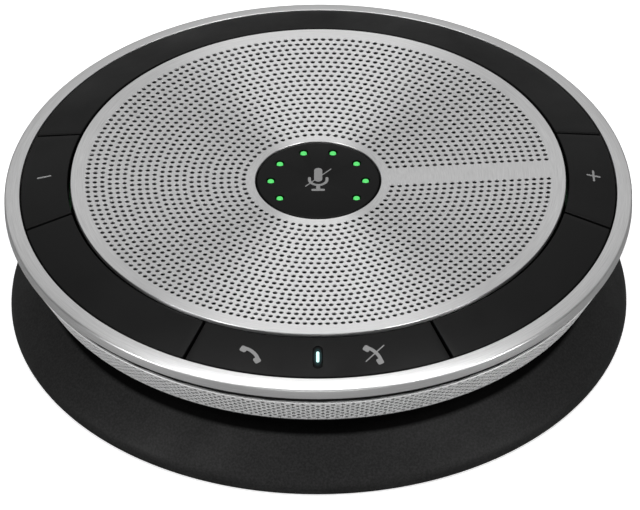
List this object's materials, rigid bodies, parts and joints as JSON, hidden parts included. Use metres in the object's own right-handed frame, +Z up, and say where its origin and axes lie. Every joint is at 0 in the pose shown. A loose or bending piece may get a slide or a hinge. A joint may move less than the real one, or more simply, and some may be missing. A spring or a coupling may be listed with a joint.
{
  "type": "conference speakerphone",
  "caption": "Round desk speakerphone with a perforated top grille, central mute button, ring of keys, metal rim, perforated side band and a flared skirt over a cable channel.",
  "frame": {"origin": "centre of the round footprint, on the surface the foot rests on", "axes": "+Z up along the round body's axis, -Y towards the call keys at the front, +X towards the volume up key"},
  "size_m": [0.12, 0.12, 0.03],
  "materials": {
    "grille_metal": "satin, brushed round the axis, perforated",
    "rim_metal": "satin, brushed round the axis",
    "band_metal": "satin, fine perforation",
    "key_plastic": "satin",
    "button_plastic": "satin",
    "icon_ink": "printed grey",
    "green_light": "lit green",
    "window_plastic": "smoked, lit pale blue",
    "housing_plastic": "fine moulded texture",
    "skirt_rubber": "soft matte",
    "foot_rubber": "matte",
    "acoustic_cloth": "fine black mesh",
    "circuit_board": "solder mask",
    "component_plastic": "moulded",
    "steel": "pressed sheet",
    "screw_steel": "zinc plated",
    "ferrite": "ground ceramic",
    "cone_paper": "pressed paper",
    "spider_fabric": "impregnated cloth",
    "copper": "enamelled wire"
  },
  "bodies": {
    "housing": {"foot_ring": "foot_rubber", "base_plate": "housing_plastic", "lower_housing": "housing_plastic", "cable_spool": "housing_plastic", "skirt": "skirt_rubber", "side_band": "band_metal", "rim_ring": "rim_metal", "middle_frame": "housing_plastic", "cable_gland": "skirt_rubber", "back_cover_arc": "key_plastic", "left_cover_arc": "key_plastic", "right_cover_arc": "key_plastic", "top_grille": "grille_metal", "grille_cloth": "acoustic_cloth", "mute_board": "circuit_board", "mute_switch": "component_plastic", "key_board": "circuit_board", "volume_up_switch": "component_plastic", "volume_down_switch": "component_plastic", "answer_switch": "component_plastic", "end_switch": "component_plastic", "rocker_pivot": "housing_plastic", "microphone_1": "steel", "microphone_2": "steel", "microphone_3": "steel", "microphone_boot_1": "foot_rubber", "microphone_boot_2": "foot_rubber", "microphone_boot_3": "foot_rubber", "main_board": "circuit_board", "processor_chip": "component_plastic", "cable_connector": "component_plastic", "capacitor_1": "component_plastic", "capacitor_2": "component_plastic", "speaker_basket": "steel", "speaker_surround": "foot_rubber", "speaker_spider": "spider_fabric", "speaker_yoke": "steel", "speaker_magnet": "ferrite", "speaker_top_plate": "steel", "base_screw_1": "screw_steel", "base_screw_2": "screw_steel", "base_screw_3": "screw_steel", "base_screw_4": "screw_steel", "speaker_screw_1": "screw_steel", "speaker_screw_2": "screw_steel", "speaker_screw_3": "screw_steel", "speaker_screw_4": "screw_steel", "board_screw_1": "screw_steel", "board_screw_2": "screw_steel", "board_screw_3": "screw_steel"},
    "volume_up": {"volume_up_key": "key_plastic"},
    "volume_down": {"volume_down_key": "key_plastic"},
    "call_key": {"call_rocker": "key_plastic", "status_window": "window_plastic"},
    "mute": {"mute_button": "button_plastic", "mute_light_guide": "green_light"},
    "speaker_motion": {"speaker_cone": "cone_paper", "speaker_dust_cap": "cone_paper", "voice_coil": "copper"}
  },
  "joints": [
    {"name": "volume_up_press", "type": "slide", "parent": "housing", "child": "volume_up", "axis": [0, 0, -1], "range_m": [0, 0.0004], "stiffness_N_per_m": 1500},
    {"name": "volume_down_press", "type": "slide", "parent": "housing", "child": "volume_down", "axis": [0, 0, -1], "range_m": [0, 0.0004], "stiffness_N_per_m": 1500},
    {"name": "call_rocker_tilt", "type": "hinge", "parent": "housing", "child": "call_key", "pos_m": [0, -0.05005, 0.02505], "axis": [0, -1, 0], "range_deg": [-0.9, 0.9], "stiffness_Nm_per_rad": 0.5},
    {"name": "mute_press", "type": "slide", "parent": "housing", "child": "mute", "axis": [0, 0, -1], "range_m": [0, 0.0004], "stiffness_N_per_m": 1500},
    {"name": "cone_stroke", "type": "slide", "parent": "housing", "child": "speaker_motion", "axis": [0, 0, 1], "range_m": [-0.0008, 0.0008], "stiffness_N_per_m": 1500, "deforming": ["speaker_surround", "speaker_spider"]}
  ]
}
